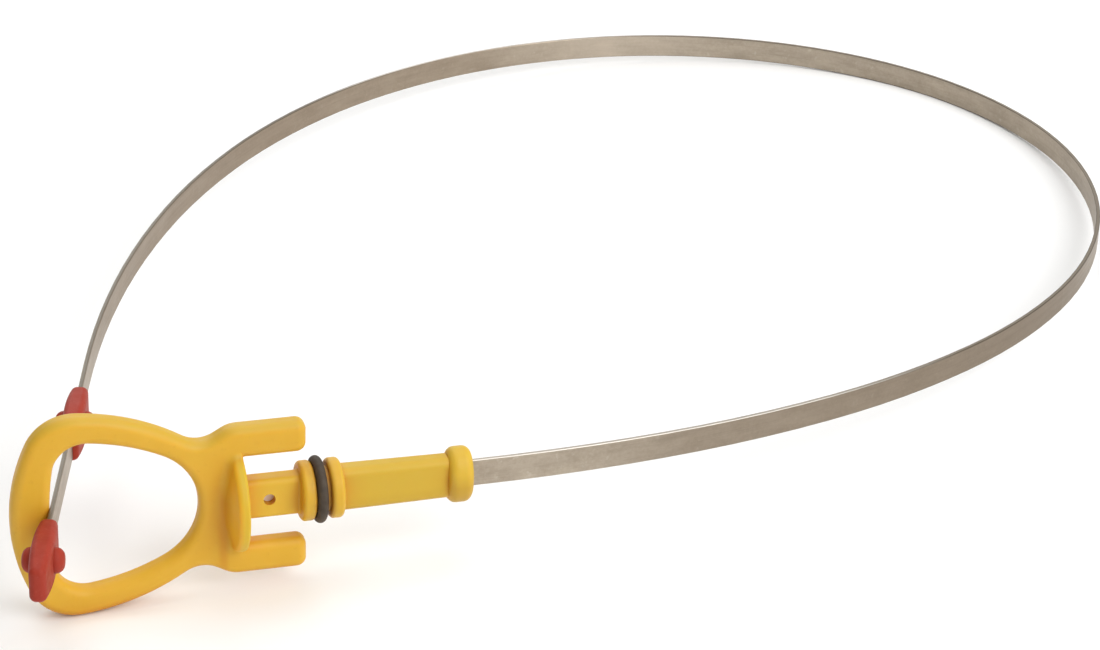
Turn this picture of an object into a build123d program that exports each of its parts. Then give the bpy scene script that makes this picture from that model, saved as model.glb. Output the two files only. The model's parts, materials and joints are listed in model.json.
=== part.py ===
"""Engine oil dipstick: moulded handle, seal ring, coiled steel blade and two guides (mm, +Z up).

The pieces are built in the frame of the handle: X runs along the stem towards the blade, the finger
ring stands in the XZ plane, and X = 0 is the face that stops on the mouth of the dipstick tube.
At the end everything is laid down together as the object comes to rest on a floor.
"""
import os
from math import atan2, cos, pi, radians, sin, tan

from build123d import *

# blade
blade_width = 6.0
blade_thickness = 1.0
blade_edge_round = 0.3
coil_length = 675.4         # the bent stretch, up to the straight end
coil_turn = 255.59          # degrees turned over that length
coil_mid_ratio = 0.5735     # how much more the middle is bent than the mean
coil_lean = 0.0748          # moves the sharpest bend a little towards the handle
coil_arcs = 16
blade_end_straight = 87.2
bar_gap = 0.3               # where the free end passes inside the end bar of the ring
blade_anchor = 4.0          # reaches this far past the stop face into the plate
mould_gap = 0.03            # between the blade and the plastic moulded round it

# grip plate with its finger opening
plate_thickness = 5.0
edge_round = 1.9            # all round the plate and the tines
ring_left = 46.8            # from the stop face back to the end of the ring
ring_corner_in = 7.1        # from the end of the ring to the line of its corners
ring_corner_z = 22.5
ring_corner_round = 10.3
ring_side_x = -22.8
ring_side_z = 20.4
waist_x = -8.8
waist_z = 13.1
waist_round = 6.0
shoulder_x = -2.4
end_bar = 7.9
opening_corner_in = 2.0     # from the end of the opening to the line of its corners
opening_corner_z = 16.8
opening_corner_round = 6.5
opening_side_x = -22.1
opening_side_z = 14.5
opening_point_x = -1.5
opening_point_round = 13.5

# fork
fork_half_height = 16.8
tine_height = 6.9
tine_end = 13.2
slot_round = 0.6
corner_spare = 0.1          # how much rounder a corner is than the edges that meet there

# round stop flange
stop_radius = 11.0
stop_thickness = 2.2        # at the rim
stop_back = 2.6             # how much thicker it is at the middle, a flat cone towards the ring
stop_face_round = 0.65      # on the side of the tube
stop_cove = 1.8

# stem, seal collars, sleeve and end bead
stem_height = 8.8
stem_thickness = 4.6
stem_round = 1.3
stem_length = 11.8
stem_cove = 0.5
core_hole = 2.5
core_hole_x = 5.4
collar_radius = 6.25
collar_width = 2.85
collar_round = 0.9
groove_width = 3.05
groove_depth = 1.5
sleeve_length = 22.35
sleeve_height = 9.7
sleeve_thickness = 5.2
sleeve_slim = 0.2           # narrower by this on each side at the far end
sleeve_round = 1.8
bead_length = 5.2
bead_height = 12.3
bead_thickness = 9.4
bead_round = 1.8
bury = 0.8                  # how deep one stretch of the moulding starts inside the next

# seal ring, lying against the first collar
seal_cord = 2.2
seal_gap = 0.05

# guides
guide_length = 21.0
guide_half_start = 1.75     # half of the width at the end towards the coil
guide_half_mid = 2.25
guide_half_end = 1.6
guide_mid_height = 9.2
guide_end_height = 7.2
guide_flat = 0.4            # width left flat on the end towards the tip
ear_radius = 2.6
ear_span = 8.4
ear_round = 1.8
end_guide_cover = 3.8       # plastic beyond the end of the blade
guide_pitch = 57.6          # between the middles of the two guides

# densities, only used to find how the object comes to rest
steel = 7.85
plastic = 1.2
rubber = 1.2

# places along the stem
collar_1 = stem_length
groove = collar_1 + collar_width
collar_2 = groove + groove_width
sleeve = collar_2 + collar_width
bead = sleeve + sleeve_length
stem_end = bead + bead_length
groove_radius = collar_radius - groove_depth
half_plate = plate_thickness / 2
half_thin = blade_thickness / 2
opening_left = ring_left - end_bar
ring_corner_x = ring_corner_in - ring_left
opening_corner_x = opening_corner_in - opening_left
guide_round = guide_half_end - guide_flat / 2
stop_rim_round = stop_thickness / 2
tine_low = fork_half_height - tine_height
tine_middle = fork_half_height - tine_height / 2
tine_root = stop_face_round + corner_spare
tine_corner = edge_round + corner_spare
web_root = edge_round + bury
shoulder_turn = atan2(fork_half_height - waist_z, shoulder_x - waist_x)
shoulder_round = (-tine_root - shoulder_x) / tan(shoulder_turn / 2)
near = 0.01                 # how close a place has to be to be picked


def coil_heading(share):
    """Direction of the blade in degrees after this share of the coil, least bent at both ends."""
    turn = 2 * pi * share
    swing = coil_lean * (1 - cos(turn)) - coil_mid_ratio * sin(turn)
    return coil_turn * (share + swing / (2 * pi))


def blade_side(shift, start, run_out, bend_x):
    """One long side of the blade as a chain of tangent curves, shifted to the left of its middle."""
    chain = [Line((start, shift), (bend_x, shift))]
    for i in range(coil_arcs):
        bend = coil_heading((i + 1) / coil_arcs) - coil_heading(i / coil_arcs)
        radius = coil_length / coil_arcs / radians(bend) - shift
        chain.append(JernArc(chain[-1] @ 1, chain[-1] % 1, radius, bend))
    chain.append(PolarLine(chain[-1] @ 1, run_out, direction=chain[-1] % 1))
    return chain


# where the bend begins: the free end then passes inside the end bar with its gap
with BuildLine():
    free = blade_side(0, -blade_anchor, blade_end_straight, 0)[-1]
free_way = free % 1
crossing = (free @ 1).X - (free @ 1).Y * free_way.X / free_way.Y
coil_start = bar_gap - opening_left + half_thin / abs(free_way.Y) - crossing


def strip(margin):
    """The blade, or with a margin the pocket that it leaves in the plastic."""
    start = -blade_anchor - margin
    run_out = blade_end_straight + margin
    with BuildPart() as body:
        with BuildSketch(Plane.XY.offset(-blade_width / 2 - margin)):
            with BuildLine():
                inside = blade_side(half_thin + margin, start, run_out, coil_start)
                outside = blade_side(-half_thin - margin, start, run_out, coil_start)
                Line(inside[0] @ 0, outside[0] @ 0)
                Line(inside[-1] @ 1, outside[-1] @ 1)
            make_face()
        extrude(amount=blade_width + 2 * margin)
    return body


# middle of the blade, for placing what sits on it
with BuildLine():
    middle = blade_side(0, -blade_anchor, blade_end_straight, coil_start)
blade_end = middle[-1] @ 1
blade_way = middle[-1] % 1

# blade, and the pocket that it leaves in the guides
blank = strip(0)
pocket = strip(mould_gap)
with BuildPart() as blade:
    add(blank.part)
    rims = blade.faces().filter_by(Plane.XY).edges()
    fillet(rims.filter_by(lambda e: e.length > 2 * blade_thickness), blade_edge_round)

# two tines, with a web in the corner of each slot
with BuildPart() as tines:
    with BuildSketch(Plane.XZ) as tine:
        with BuildLine():
            outer = Line((-tine_root, fork_half_height), (tine_end, fork_half_height))
            end = Line(outer @ 1, (tine_end, tine_low))
            inner = Line(end @ 1, (0, tine_low))
            web = Line(inner @ 1, (0, tine_low - tine_root))
            back = Polyline(web @ 1, (-web_root, tine_low - tine_root), (-web_root, tine_middle))
            Polyline(back @ 1, (-tine_root, tine_middle), outer @ 0)
        make_face()
        fillet(tine.vertices().group_by(Axis.X)[-1], tine_corner)
        fillet(tine.vertices().filter_by(lambda v: abs(v.X) < near).sort_by(Axis.Y)[-1], slot_round)
    extrude(amount=half_plate, both=True)
    rims = tines.faces().filter_by(Plane.XZ).edges()
    fillet(rims.filter_by(lambda e: e.center().X > -near), edge_round)
    mirror(about=Plane.XY)

# end bead
with BuildPart() as end_bead:
    with BuildSketch(Plane.YZ.offset(bead)):
        Ellipse(bead_thickness / 2, bead_height / 2)
    extrude(amount=bead_length)
    fillet(end_bead.faces().filter_by(Plane.YZ).edges(), bead_round)

# handle
with BuildPart() as handle:
    # grip plate: left end, two sides and the waist, with the finger opening cut out
    with BuildSketch(Plane.XZ) as grip:
        with BuildLine():
            left = TangentArc((-ring_left, 0), (ring_corner_x, ring_corner_z), tangent=(0, 1))
            side = ThreePointArc(left @ 1, (ring_side_x, ring_side_z), (waist_x, waist_z))
            rise = Line(side @ 1, (shoulder_x, fork_half_height))
            top = Line(rise @ 1, (0, fork_half_height))
            Polyline(top @ 1, (0, 0), left @ 0)
        make_face()
        mirror(about=Plane.XZ)
        fillet(grip.vertices().filter_by(lambda v: abs(v.X - ring_corner_x) < near), ring_corner_round)
        fillet(grip.vertices().filter_by(lambda v: abs(v.X - waist_x) < near), waist_round)
        fillet(grip.vertices().filter_by(lambda v: abs(v.X - shoulder_x) < near), shoulder_round)
    extrude(amount=half_plate, both=True)
    with BuildSketch(Plane.XZ) as opening:
        with BuildLine():
            bar = TangentArc((-opening_left, 0), (opening_corner_x, opening_corner_z), tangent=(0, 1))
            slope = ThreePointArc(bar @ 1, (opening_side_x, opening_side_z), (opening_point_x, 0))
            Line(slope @ 1, bar @ 0)
        make_face()
        mirror(about=Plane.XZ)
        corners = opening.vertices().filter_by(lambda v: abs(v.X - opening_corner_x) < near)
        fillet(corners, opening_corner_round)
        fillet(opening.vertices().sort_by(Axis.X)[-1], opening_point_round)
    extrude(amount=half_plate, both=True, mode=Mode.SUBTRACT)
    rims = handle.faces().filter_by(Plane.XZ).edges()
    fillet(rims.filter_by(lambda e: e.center().X < -near), edge_round)
    # round stop flange, with a cove where it rises from the plate
    with BuildSketch(Plane.XZ) as flange:
        with BuildLine():
            rim = Line((0, stop_radius), (-stop_thickness, stop_radius))
            Polyline(rim @ 1, (-stop_thickness - stop_back, 0), (0, 0), rim @ 0)
        make_face()
        fillet(flange.vertices().group_by(Axis.Y)[-1].sort_by(Axis.X)[0], stop_rim_round)
    revolve(axis=Axis.X)
    roots = handle.edges().filter_by(lambda e: abs(abs(e.center().Y) - half_plate) < near)
    roots = roots.filter_by(lambda e: -stop_thickness - stop_back < e.center().X < -near)
    fillet(roots.filter_by(lambda e: abs(e.center().Z) < stop_radius), stop_cove)
    fillet(handle.faces().filter_by(Plane.YZ).sort_by(Axis.X)[-1].outer_wire().edges(), stop_face_round)
    # stem
    with BuildSketch(Plane.YZ.offset(-bury)):
        RectangleRounded(stem_thickness, stem_height, stem_round)
    extrude(amount=bury + stem_length + bury)
    add(tines.part)
    # seal collars with the groove between them
    with BuildSketch(Plane.XZ) as collars:
        for place in (collar_1, collar_2):
            with Locations((place + collar_width / 2, collar_radius / 2)):
                Rectangle(collar_width, collar_radius)
        fillet(collars.vertices().group_by(Axis.Y)[-1], collar_round)
        with Locations((groove + groove_width / 2, groove_radius / 2)):
            Rectangle(groove_width + 2 * bury, groove_radius)
    revolve(axis=Axis.X)
    # coves at both ends of the stem
    roots = handle.edges().filter_by(lambda e: abs(e.center().Z) < stem_height / 2 + near)
    roots = roots.filter_by(lambda e: abs(e.center().Y) < stem_thickness / 2 + near)
    fillet(roots.filter_by(lambda e: abs(e.center().X) < near), stem_cove)
    fillet(roots.filter_by(lambda e: abs(e.center().X - collar_1) < near), stem_cove)
    # sleeve, a little narrower towards the blade
    with BuildSketch(Plane.YZ.offset(sleeve - bury)):
        RectangleRounded(sleeve_thickness, sleeve_height, sleeve_round)
    with BuildSketch(Plane.YZ.offset(bead + bury)):
        far_thickness = sleeve_thickness - 2 * sleeve_slim
        RectangleRounded(far_thickness, sleeve_height - 2 * sleeve_slim, sleeve_round)
    loft()
    add(end_bead.part)
    # mould core hole, through both faces of the stem down to the blade
    with Locations(Plane.XZ):
        with Locations((core_hole_x, 0, 0)):
            Cylinder(core_hole / 2, stem_thickness, mode=Mode.SUBTRACT)
    # straight channel that the blade fills
    with BuildSketch(Plane.YZ.offset(-blade_anchor - mould_gap)):
        Rectangle(blade_thickness + 2 * mould_gap, blade_width + 2 * mould_gap)
    extrude(amount=blade_anchor + mould_gap + stem_end, mode=Mode.SUBTRACT)

# seal ring
with BuildPart() as o_ring:
    with BuildSketch(Plane.XZ):
        with Locations((groove + seal_gap + seal_cord / 2, groove_radius + seal_gap + seal_cord / 2)):
            Circle(seal_cord / 2)
    revolve(axis=Axis.X)


def guide(place):
    """One guide moulded round the blade, with its own X along the blade."""
    half = guide_length / 2
    ends = guide_end_height / 2
    side_plane = Plane(place.origin, x_dir=place.x_dir, z_dir=-place.y_dir)
    with BuildPart() as body:
        with BuildSketch(place):
            with BuildLine():
                widest = (0, guide_half_mid)
                flank = ThreePointArc((-half, guide_half_start), widest, (half, guide_half_end))
                Polyline(flank @ 0, (-half, 0), (half, 0), flank @ 1)
            make_face()
            mirror(about=Plane.XZ)
        extrude(amount=guide_mid_height / 2, both=True)
        with BuildSketch(side_plane):
            with BuildLine():
                back = ThreePointArc((-half, ends), (0, guide_mid_height / 2), (half, ends))
                Polyline(back @ 0, (-half, 0), (half, 0), back @ 1)
            make_face()
            mirror(about=Plane.XZ)
        extrude(amount=2 * guide_half_mid, both=True, mode=Mode.INTERSECT)
        fillet(body.edges(), guide_round)
    with BuildPart() as ears:
        with BuildSketch(side_plane):
            Circle(ear_radius)
        extrude(amount=ear_span / 2, both=True)
        fillet(ears.edges().filter_by(GeomType.CIRCLE), ear_round)
    with BuildPart() as whole:
        add(body.part)
        add(ears.part)
        add(pocket.part, mode=Mode.SUBTRACT)
    return whole


# the two guides, counted back from the end of the blade
end_middle = blade_end - blade_way * (guide_length / 2 - end_guide_cover)
upper_middle = end_middle - blade_way * guide_pitch
end_guide = guide(Plane(end_middle, x_dir=blade_way, z_dir=(0, 0, 1)))
upper_guide = guide(Plane(upper_middle, x_dir=blade_way, z_dir=(0, 0, 1)))

# how it lies: on the lowest point of the ring, and on the lower edge of the blade at the place where
# the line from that point under the centre of mass leaves the coil
pieces = {"handle": handle, "o_ring": o_ring, "blade": blade}
weights = {"handle": plastic, "o_ring": rubber, "blade": steel}
for name, piece in (("upper_guide", upper_guide), ("end_guide", end_guide)):
    pieces[name] = piece
    weights[name] = plastic
mass = sum(weights[name] * piece.part.volume for name, piece in pieces.items())
balance = Vector(0, 0, 0)
for name, piece in pieces.items():
    balance += piece.part.center(CenterOf.MASS) * (weights[name] * piece.part.volume / mass)
foot_z = handle.part.bounding_box().min.Z
foot = Vector(handle.part.vertices().sort_by(Axis.Z)[0].X, 0, foot_z)
reach = Vector(balance.X - foot.X, balance.Y - foot.Y, 0)
spots = [(arc @ (k / 10), arc % (k / 10)) for arc in middle for k in range(10)]
beyond = [spot for spot in spots if (spot[0] - foot).dot(reach) > reach.dot(reach)]
touch, along = min(beyond, key=lambda spot: abs(reach.cross(spot[0] - foot).Z))
touch = touch + Vector(along.Y, -along.X, 0) * half_thin - Vector(0, 0, blade_width / 2)
up = along.cross(foot - touch).normalized()
up = up if up.Z > 0 else -up
ahead = Vector(1, 0, 0) - up * up.X
floor = Plane(foot, x_dir=ahead, z_dir=up)
for piece in pieces.values():
    piece.part.move(floor.location.inverse())
extent = Compound([piece.part for piece in pieces.values()]).bounding_box()
stand = Location((-extent.center().X, -extent.center().Y, -extent.min.Z))

os.makedirs("parts", exist_ok=True)
for name, piece in pieces.items():
    piece.part.move(stand)
    piece.part.label = name
    export_step(piece.part, f"parts/{name}.step")
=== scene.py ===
"""Looks of the engine oil dipstick: procedural materials, pale floor, soft studio light, one camera."""
import json
from math import cos, radians, sin

import bpy
from mathutils import Matrix, Vector

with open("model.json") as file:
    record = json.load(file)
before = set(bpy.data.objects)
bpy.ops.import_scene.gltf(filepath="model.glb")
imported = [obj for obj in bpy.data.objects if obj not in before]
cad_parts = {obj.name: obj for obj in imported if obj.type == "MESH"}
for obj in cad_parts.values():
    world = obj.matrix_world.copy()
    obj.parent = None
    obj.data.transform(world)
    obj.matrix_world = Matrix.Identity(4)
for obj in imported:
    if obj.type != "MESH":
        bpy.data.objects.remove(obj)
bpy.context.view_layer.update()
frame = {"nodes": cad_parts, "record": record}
nodes = frame["nodes"]

MM = 0.001

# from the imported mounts: the stem's direction, the middle of the stop face, the way through the plate of the
# handle and the normal of the coil's plane; the mount on the stop face lies beside the stem, in that plane
mounts = {mount["name"]: mount for mount in frame["record"]["mounts"]}
plug = Vector(mounts["tube_plug"]["pos_m"])
beside = Vector(mounts["stop_face"]["pos_m"])
STEM = Vector(mounts["tube_plug"]["axis"])
STOP = plug - STEM * STEM.dot(plug - beside)
SIDE = (STOP - beside).normalized()
COIL_UP = STEM.cross(SIDE)

# places along the stem, from the stop face
FLANGE_FOOT = -5.1 * MM
FLANGE_CONE = -3.4 * MM
FLANGE_RIM = -1.6 * MM
FLANGE_END = 0.5 * MM
STEM_FROM = 2.5 * MM
CORE_HOLE = 5.4 * MM
COLLARS_FROM = 11.5 * MM
SEAL = 15.85 * MM
SLEEVE_FROM = 20.5 * MM
BEAD_FROM = 43.0 * MM
BEAD_TO = 50.0 * MM

# fine grain of the moulded surfaces, and how deep the grain of every surface is
GRAINS_PER_METRE = 2600.0
GRAIN_DEPTH = 0.1 * MM

# values that noise mostly stays between, and those from which it makes sparse specks
NOISE_LOW, NOISE_HIGH = 0.3, 0.7
SPECK_FROM, SPECK_FULL, SPECK_MOST = 0.60, 0.75, 0.35

# numbers of the sockets of a node that mixes two colours
FACTOR, FIRST, SECOND, MIXED = 0, 6, 7, 2


class Look:
    """The node tree of a material or a world, with a short word for each kind of node that is needed."""

    def __init__(self, tree):
        self.tree = tree

    def fill(self, node, inputs):
        """Links or sets inputs of a node; each value is a socket or a constant."""
        for key, value in inputs.items():
            if isinstance(value, bpy.types.NodeSocket):
                self.tree.links.new(value, node.inputs[key])
            else:
                node.inputs[key].default_value = value
        return node

    def add(self, kind, inputs=None):
        return self.fill(self.tree.nodes.new(kind), inputs or {})

    def facing(self):
        return self.add("ShaderNodeNewGeometry").outputs["Normal"]

    def noise(self, vector, per_metre, detail=3.0, rough=0.55):
        inputs = {"Vector": vector, "Scale": per_metre, "Detail": detail, "Roughness": rough}
        return self.add("ShaderNodeTexNoise", inputs).outputs["Fac"]

    def remap(self, value, lo, hi, to_lo=0.0, to_hi=1.0):
        inputs = {"Value": value, "From Min": lo, "From Max": hi, "To Min": to_lo, "To Max": to_hi}
        return self.add("ShaderNodeMapRange", inputs).outputs["Result"]

    def spread(self, value, to_lo=0.0, to_hi=1.0):
        """Spreads noise over the range from to_lo to to_hi."""
        return self.remap(value, NOISE_LOW, NOISE_HIGH, to_lo, to_hi)

    def specks(self, point, per_metre, detail):
        return self.remap(self.noise(point, per_metre, detail), SPECK_FROM, SPECK_FULL, 0.0, SPECK_MOST)

    def mix(self, factor, a, b):
        """Mixes two colours; each is a socket or a fixed colour."""
        a, b = ((*colour, 1.0) if isinstance(colour, tuple) else colour for colour in (a, b))
        node = self.add("ShaderNodeMix")
        node.data_type = "RGBA"
        return self.fill(node, {FACTOR: factor, FIRST: a, SECOND: b}).outputs[MIXED]

    def math(self, kind, a, b=0.0):
        node = self.add("ShaderNodeMath")
        node.operation = kind
        return self.fill(node, {0: a, 1: b}).outputs[0]

    def plus(self, a, b):
        return self.math("ADD", a, b)

    def times(self, value, *others):
        for other in others:
            value = self.math("MULTIPLY", value, other)
        return value

    def away(self, value, place=0.0):
        """How far the value is from a place, either way."""
        return self.math("ABSOLUTE", self.math("SUBTRACT", value, place))

    def dot(self, vector, direction):
        node = self.add("ShaderNodeVectorMath")
        node.operation = "DOT_PRODUCT"
        return self.fill(node, {0: vector, 1: direction}).outputs["Value"]

    def along(self, point, direction):
        """How far in metres the point lies from the middle of the stop face, in this direction."""
        return self.math("SUBTRACT", self.dot(point, direction), direction.dot(STOP))

    def band(self, value, lo, hi, soft):
        """1 between lo and hi and 0 outside, with soft ends."""
        rise = self.remap(value, lo - soft, lo + soft)
        return self.times(rise, self.remap(value, hi - soft, hi + soft, 1.0, 0.0))

    def streaks(self, x, y, across, run, fine, **kind):
        """Noise drawn out along the strip: this many changes per metre along it, and across its width."""
        inputs = {"X": self.times(x, run), "Y": self.times(y, run), "Z": self.times(across, fine)}
        drawn_out = self.add("ShaderNodeCombineXYZ", inputs).outputs["Vector"]
        return self.noise(drawn_out, 1.0, **kind)

    def hollows(self, reach):
        """1 in tight corners, 0 on open faces."""
        tight, free = 0.35, 0.95
        node = self.add("ShaderNodeAmbientOcclusion", {"Distance": reach})
        node.samples = 8
        return self.remap(node.outputs["AO"], tight, free, 1.0, 0.0)

    def moulded(self, point, waves_per_metre):
        """The height of a moulded surface: fine grain on shallow waves."""
        waves = self.times(self.noise(point, waves_per_metre, detail=2.0), 2.0)
        return self.plus(self.noise(point, GRAINS_PER_METRE, detail=2.0), waves)

    def bump(self, height, strength):
        inputs = {"Height": height, "Strength": strength, "Distance": GRAIN_DEPTH}
        return self.add("ShaderNodeBump", inputs).outputs["Normal"]


def new_material(name):
    """A material with a plain shader; gives it with its look, its shader and the point on the surface."""
    material = bpy.data.materials.new(name)
    material.use_nodes = True
    material.node_tree.nodes.clear()
    look = Look(material.node_tree)
    shader = look.add("ShaderNodeBsdfPrincipled")
    look.add("ShaderNodeOutputMaterial", {"Surface": shader.outputs["BSDF"]})
    return material, look, shader, look.add("ShaderNodeTexCoord").outputs["Object"]


def stem_tones(look, colour, ahead, up):
    """Yellower on the stem, collars, sleeve and bead, and painted shade, a deeper tone, on the underside of
    sleeve and bead.
    """
    tones = (
        (STEM_FROM, COLLARS_FROM, (0.68, 0.430, 0.032)),
        (COLLARS_FROM, SLEEVE_FROM, (0.65, 0.385, 0.026)),
        (SLEEVE_FROM, BEAD_FROM, (0.595, 0.383, 0.0285)),
        (BEAD_FROM, BEAD_TO, (0.645, 0.415, 0.033)),
    )
    bead_underside_shade = (0.545, 0.322, 0.021)
    underside_shade = (0.47, 0.270, 0.018)
    soft = 1.0 * MM
    between_tines = look.remap(look.away(up), 7.0 * MM, 9.0 * MM, 1.0, 0.0)
    for start, end, tone in tones:
        colour = look.mix(look.times(between_tines, look.band(ahead, start, end, soft)), colour, tone)
    # painted shade on the lower part of the bead
    bead_shade_mask = look.remap(up, -1.0 * MM, 2.0 * MM, 1.0, 0.0)
    bead_shade_mask = look.times(between_tines, bead_shade_mask, look.band(ahead, BEAD_FROM, BEAD_TO, soft))
    colour = look.mix(bead_shade_mask, colour, bead_underside_shade)
    # painted shade under the sleeve and the bead
    underside_shade_mask = look.remap(up, -6.0 * MM, -1.0 * MM, 0.5, 0.0)
    underside_shade_mask = look.times(between_tines, underside_shade_mask, look.band(ahead, SLEEVE_FROM, BEAD_TO, soft))
    return look.mix(underside_shade_mask, colour, underside_shade)


def flange_tones(look, colour, ahead, up, aside):
    """Painted shade and light on the thin flange: painted shade, a deep orange, at the lower part of its foot,
    a painted orange glow on its back, plainer at its rim.
    """
    most = 0.65
    soft = 0.5 * MM
    # painted shade at the lower part of the foot, and a painted orange glow on the disc
    lower_part = look.remap(up, 1.0 * MM, 5.0 * MM, 1.0, 0.0)
    foot_shade = look.times(look.remap(aside, 1.5 * MM, 2.8 * MM, 0.0, most), lower_part)
    painted_disc = look.remap(aside, 2.8 * MM, 4.5 * MM, 0.0, most)
    tones = (
        (FLANGE_FOOT, FLANGE_CONE, foot_shade, (0.60, 0.235, 0.005)),
        (FLANGE_CONE, FLANGE_RIM, painted_disc, (0.88, 0.450, 0.012)),
        (FLANGE_RIM, FLANGE_END, painted_disc, (0.60, 0.425, 0.018)),
    )
    for start, end, part, tone in tones:
        colour = look.mix(look.times(part, look.band(ahead, start, end, soft)), colour, tone)
    return colour


def yellow_plastic():
    deep, pale = (0.675, 0.378, 0.021), (0.715, 0.414, 0.030)
    brown_fleck = (0.57, 0.29, 0.018)
    top_highlight_tone = (0.59, 0.372, 0.032)
    corner_shade = (0.60, 0.235, 0.004)
    seal_side_brown = (0.30, 0.16, 0.04)
    material, look, shader, point = new_material("yellow_plastic")
    ahead = look.along(point, STEM)
    up = look.along(point, COIL_UP)
    aside = look.away(look.along(point, SIDE))
    colour = look.mix(look.spread(look.noise(point, per_metre=70.0)), deep, pale)
    colour = look.mix(look.specks(point, per_metre=900.0, detail=4.0), colour, brown_fleck)
    # painted highlight: a paler, less orange tone on the faces that look up, in the upper half
    lit_from_above = look.remap(look.dot(look.facing(), COIL_UP), 0.3, 0.7, 0.0, 0.8)
    colour = look.mix(look.times(lit_from_above, look.remap(up, -6.0 * MM, 2.0 * MM)), colour, top_highlight_tone)
    colour = stem_tones(look, colour, ahead, up)
    colour = flange_tones(look, colour, ahead, up, aside)
    # painted shade: a deeper orange colour in the tight corners
    colour = look.mix(look.times(look.hollows(reach=6.0 * MM), 0.85), colour, corner_shade)
    # darker brown, in patches, beside the seal ring
    near_seal = look.remap(look.away(ahead, SEAL), 1.2 * MM, 3.2 * MM, 0.55, 0.0)
    patchy = look.remap(look.noise(point, per_metre=420.0), 0.35, 0.65, 0.4, 1.0)
    colour = look.mix(look.times(near_seal, patchy), colour, seal_side_brown)
    look.fill(shader, {
        "Base Color": colour,
        "Roughness": look.spread(look.noise(point, per_metre=160.0), 0.42, 0.54),
        "IOR": 1.42,
        "Subsurface Weight": 0.28,
        "Subsurface Radius": (1.0, 0.45, 0.08),
        "Subsurface Scale": 1.6 * MM,
        "Normal": look.bump(look.moulded(point, waves_per_metre=240.0), strength=0.16),
    })
    return material


def red_plastic():
    deep, pale = (0.315, 0.033, 0.017), (0.36, 0.042, 0.024)
    pale_scuff = (0.42, 0.085, 0.06)
    material, look, shader, point = new_material("red_plastic")
    colour = look.mix(look.spread(look.noise(point, per_metre=260.0)), deep, pale)
    look.fill(shader, {
        "Base Color": look.mix(look.specks(point, per_metre=1500.0, detail=5.0), colour, pale_scuff),
        "Roughness": look.spread(look.noise(point, per_metre=500.0), 0.46, 0.60),
        "IOR": 1.26,
        "Subsurface Weight": 0.08,
        "Subsurface Radius": (1.0, 0.25, 0.15),
        "Subsurface Scale": 1.0 * MM,
        "Normal": look.bump(look.moulded(point, waves_per_metre=420.0), strength=0.2),
    })
    return material


def black_rubber():
    dark, dusty = (0.034, 0.022, 0.012), (0.062, 0.042, 0.025)
    material, look, shader, point = new_material("black_rubber")
    look.fill(shader, {
        "Base Color": look.mix(look.spread(look.noise(point, per_metre=500.0)), dark, dusty),
        "Roughness": look.spread(look.noise(point, per_metre=700.0), 0.58, 0.74),
        "Normal": look.bump(look.noise(point, per_metre=2200.0), strength=0.25),
    })
    return material


def steel_tones(look, colour, x, y):
    """Uneven tones: darker at the right and the left of the coil, and a painted reflection that makes the
    steel paler at its far side.
    """
    right_brown = (0.175, 0.130, 0.088)
    left_brown = (0.215, 0.150, 0.095)
    lit_pale_steel = (0.62, 0.53, 0.43)
    # grows to the right, is strongest at the front and ends before the far side
    right = look.plus(look.remap(x, -22 * MM, 0.0, 0.0, 0.44), look.remap(x, 0.0, 90 * MM, 0.0, 0.30))
    right = look.times(right, look.remap(y, 10 * MM, -50 * MM, 0.16, 1.0), look.remap(y, 110 * MM, 60 * MM))
    colour = look.mix(right, colour, right_brown)
    # grows to the left, but not on the front run that comes out of the handle
    left = look.times(look.remap(x, 45 * MM, 5 * MM), look.remap(x, -55 * MM, -20 * MM, 0.56, 0.40))
    colour = look.mix(look.times(left, look.remap(y, -60 * MM, -20 * MM)), colour, left_brown)
    # painted reflection: paler steel at the far side of the coil
    far_reflection = look.band(x, 30 * MM, 75 * MM, soft=15 * MM)
    far_reflection = look.times(far_reflection, look.remap(y, 70 * MM, 120 * MM, 0.0, 0.32))
    return look.mix(far_reflection, colour, lit_pale_steel)


def steel_edges(look, colour, x, y):
    """The narrow edges: a dull cut face between dark corners, which are a dark burr line and painted shade, a
    painted highlight that makes the cut face bright at the far side of the coil and pale on the run out of the
    handle, and a painted highlight on the outer corner of that run."""
    corner_burr_and_shade = (0.12, 0.098, 0.074)
    cut_left, cut_right = (0.16, 0.14, 0.11), (0.30, 0.255, 0.20)
    cut_front_highlight, cut_far_highlight = (0.46, 0.41, 0.35), (0.70, 0.66, 0.60)
    corner_highlight = (0.64, 0.60, 0.54)
    facing = look.facing()
    # 0 on the strip's flat faces, 1 on its cut faces, and between them on the rounded corners
    turn = look.away(look.dot(facing, COIL_UP))
    far_highlight = look.times(look.band(x, -30 * MM, 50 * MM, soft=20 * MM), look.remap(y, 90 * MM, 110 * MM))
    front = look.times(look.band(x, -90 * MM, 50 * MM, soft=20 * MM), look.remap(y, -20 * MM, -60 * MM))
    corner = look.times(look.band(turn, 0.35, 0.93, soft=0.12), look.remap(x, -120 * MM, 20 * MM, 0.35, 0.85))
    # dark burr lines and painted shade on the rounded corners, faint under the far highlight
    colour = look.mix(look.times(corner, look.remap(far_highlight, 0.0, 1.0, 1.0, 0.1)), colour, corner_burr_and_shade)
    cut = look.mix(look.remap(x, -50 * MM, 60 * MM), cut_left, cut_right)
    # painted highlights on the cut face: pale on the front run, bright at the far side of the coil
    cut = look.mix(far_highlight, look.mix(front, cut, cut_front_highlight), cut_far_highlight)
    colour = look.mix(look.remap(turn, 0.94, 0.985), colour, cut)
    # painted highlight on the outer corner of the run out of the handle
    outwards = look.remap(look.dot(facing, SIDE), -0.2, 0.0, 1.0, 0.0)
    outer = look.times(front, look.band(turn, 0.5, 0.96, soft=0.1), outwards)
    return look.mix(outer, colour, corner_highlight)


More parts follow.
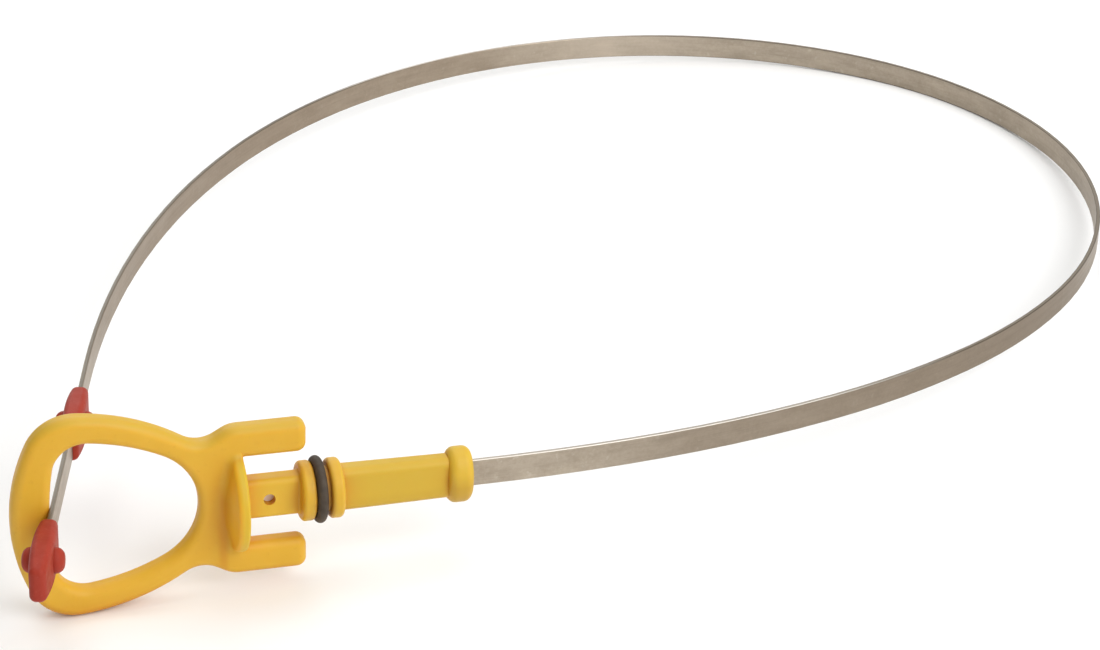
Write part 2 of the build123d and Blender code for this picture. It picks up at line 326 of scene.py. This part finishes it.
def rolled_steel():
    dull, fair = (0.345, 0.288, 0.222), (0.42, 0.356, 0.282)
    fine_grain, rolled_line, pale_spot = (0.49, 0.42, 0.34), (0.26, 0.215, 0.165), (0.56, 0.50, 0.42)
    pale_streak, dark_streak = (0.54, 0.465, 0.365), (0.24, 0.20, 0.15)
    lit_pale_steel = (0.86, 0.78, 0.70)
    material, look, shader, point = new_material("rolled_steel")
    across = look.along(point, COIL_UP)
    flat = look.add("ShaderNodeSeparateXYZ", {0: point})
    x, y = flat.outputs["X"], flat.outputs["Y"]
    # rolling lines run along the strip: fine across its width, very long along it
    lines = look.streaks(x, y, across, run=18.0, fine=2600.0)
    streak = look.streaks(x, y, across, run=110.0, fine=480.0, detail=4.0, rough=0.6)
    mottle = look.spread(look.noise(point, per_metre=150.0, detail=5.0, rough=0.65))
    grain = look.remap(look.noise(point, per_metre=1300.0, detail=4.0, rough=0.6), 0.40, 0.70, 0.0, 0.4)
    spot = look.remap(look.noise(point, per_metre=620.0, detail=4.0), 0.62, 0.74, 0.0, 0.5)
    colour = look.mix(mottle, dull, fair)
    colour = look.mix(grain, colour, fine_grain)
    colour = look.mix(look.remap(lines, 0.50, 0.80, 0.0, 0.25), colour, rolled_line)
    colour = look.mix(spot, colour, pale_spot)
    colour = look.mix(look.remap(streak, 0.52, 0.72, 0.0, 0.40), colour, pale_streak)
    colour = look.mix(look.remap(streak, 0.48, 0.30, 0.0, 0.35), colour, dark_streak)
    colour = steel_tones(look, colour, x, y)
    colour = steel_edges(look, colour, x, y)
    # painted light on the stretch that shows through the core hole: paler and less metallic
    at_hole = look.remap(look.away(look.along(point, STEM), CORE_HOLE), 1.8 * MM, 2.2 * MM, 1.0, 0.0)
    hole_light = look.times(at_hole, look.remap(y, -80 * MM, -90 * MM))
    look.fill(shader, {
        "Base Color": look.mix(hole_light, colour, lit_pale_steel),
        "Metallic": look.remap(hole_light, 0.0, 1.0, 0.8, 0.1),
        "Roughness": look.plus(look.spread(lines, 0.34, 0.44), look.remap(mottle, 0.0, 1.0, 0.0, 0.08)),
        "Normal": look.bump(look.plus(lines, look.plus(mottle, grain)), strength=0.12),
    })
    return material


looks = {
    "handle": yellow_plastic(),
    "o_ring": black_rubber(),
    "blade": rolled_steel(),
    "upper_guide": red_plastic(),
}
looks["end_guide"] = looks["upper_guide"]
for name, material in looks.items():
    for slot in nodes[name].material_slots:
        slot.material = material


def pale_floor():
    half = 6.0
    grey, white = (0.945, 0.945, 0.94), (0.96, 0.96, 0.955)
    material, look, shader, point = new_material("pale_floor")
    look.fill(shader, {
        "Base Color": look.mix(look.noise(point, per_metre=6.0), grey, white),
        "Roughness": 0.9,
        "Specular IOR Level": 0.1,
    })
    corners = [(-half, -half, 0), (half, -half, 0), (half, half, 0), (-half, half, 0)]
    mesh = bpy.data.meshes.new("floor")
    mesh.from_pydata(corners, [], [(0, 1, 2, 3)])
    mesh.materials.append(material)
    return bpy.data.objects.new("floor", mesh)


floor = pale_floor()
bpy.context.collection.objects.link(floor)

# soft studio light, from a room that is darker on the left
ROOM_COLOUR = (1.0, 0.997, 0.99, 1.0)
BRIGHT_SIDE = Vector((1.0, -0.2, 0.35)).normalized()
DIMMEST, BRIGHTEST = 0.26, 0.68
world = bpy.data.worlds.new("studio")
bpy.context.scene.world = world
world.use_nodes = True
room = Look(world.node_tree)
towards_bright = room.dot(room.add("ShaderNodeTexCoord").outputs["Generated"], BRIGHT_SIDE)
strength = room.remap(towards_bright, -0.75, 0.65, DIMMEST, BRIGHTEST)
room.fill(world.node_tree.nodes["Background"], {"Color": ROOM_COLOUR, "Strength": strength})


def area_light(name, at, size, power, colour=(1.0, 1.0, 1.0)):
    """A round lamp that points at the origin, the middle of the object on the floor."""
    data = bpy.data.lights.new(name, "AREA")
    data.shape = "DISK"
    data.size = size
    data.energy = power
    data.color = colour
    lamp = bpy.data.objects.new(name, data)
    lamp.location = at
    lamp.rotation_euler = (-Vector(at)).to_track_quat("-Z", "Y").to_euler()
    bpy.context.collection.objects.link(lamp)


area_light("key", at=(0.65, -1.05, 1.00), size=1.3, power=14.5, colour=(1.0, 0.995, 0.985))
area_light("top", at=(0.05, 0.30, 1.5), size=1.5, power=8.5)
area_light("back", at=(-0.1, 1.5, 0.8), size=1.0, power=5.0)

# camera at the viewing angle of the photo
AZIMUTH, ELEVATION, ROLL = radians(-15.8658), radians(28.3961), radians(-0.4242)
CAMERA_AT = Vector((-0.18421, -0.63706, 0.35005))
LENS_MM, SENSOR_MM = 101.257, 36.0
NEAREST, FARTHEST = 0.01, 50.0
back = Vector((sin(AZIMUTH) * cos(ELEVATION), -cos(AZIMUTH) * cos(ELEVATION), sin(ELEVATION)))
level = Vector((cos(AZIMUTH), sin(AZIMUTH), 0.0))
rise = back.cross(level)
right = level * cos(ROLL) + rise * sin(ROLL)
up = rise * cos(ROLL) - level * sin(ROLL)
camera_data = bpy.data.cameras.new("camera")
camera_data.sensor_width = SENSOR_MM
camera_data.lens = LENS_MM
camera_data.clip_start = NEAREST
camera_data.clip_end = FARTHEST
camera = bpy.data.objects.new("camera", camera_data)
camera.matrix_world = Matrix.Translation(CAMERA_AT) @ Matrix((right, up, back)).transposed().to_4x4()
bpy.context.collection.objects.link(camera)
bpy.context.scene.camera = camera
bpy.context.scene.view_settings.view_transform = "Standard"
